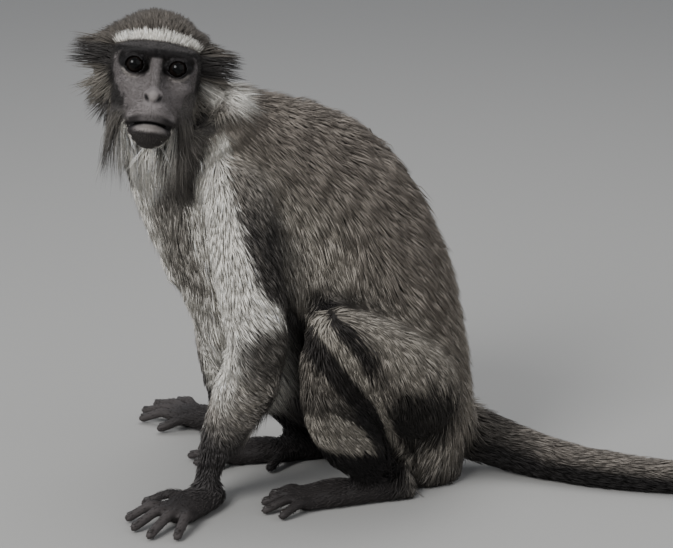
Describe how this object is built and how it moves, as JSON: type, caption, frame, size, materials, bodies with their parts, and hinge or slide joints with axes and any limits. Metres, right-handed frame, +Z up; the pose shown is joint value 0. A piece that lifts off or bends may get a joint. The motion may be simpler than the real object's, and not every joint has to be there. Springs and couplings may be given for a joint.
{
  "type": "seated guenon monkey",
  "caption": "Life-size still model of a seated guenon monkey of the Diana type, leaning on its hands, its head turned to the left and its long tail curved on the floor.",
  "frame": {"origin": "on the floor, on the flat under the animal's rump, where it sits", "axes": "-X the way the trunk faces, +X towards the end of the tail, -Y the animal's left side, +Y its right side, +Z up"},
  "size_m": [0.7974, 0.3306, 0.3988],
  "materials": {
    "grizzled_coat": "speckled grey fur",
    "pale_coat": "off-white fur",
    "dark_coat": "blackish grey fur",
    "dark_skin": "dark bare skin, semi-matt",
    "eye": "wet, glossy"
  },
  "bodies": {
    "root": {"head": "grizzled_coat", "left_eye": "eye", "right_eye": "eye", "left_ear": "dark_skin", "right_ear": "dark_skin", "left_upper_arm": "grizzled_coat", "left_forearm": "dark_coat", "left_hand": "dark_skin", "left_thigh": "grizzled_coat", "left_shank": "dark_coat", "left_foot": "dark_skin", "right_upper_arm": "grizzled_coat", "right_forearm": "dark_coat", "right_hand": "dark_skin", "right_thigh": "grizzled_coat", "right_shank": "dark_coat", "right_foot": "dark_skin", "rump": "grizzled_coat", "abdomen": "grizzled_coat", "chest": "grizzled_coat", "neck": "pale_coat", "tail_1": "dark_coat", "tail_2": "dark_coat", "tail_3": "dark_coat", "tail_4": "dark_coat", "tail_5": "dark_coat", "tail_6": "dark_coat"}
  },
  "joints": []
}
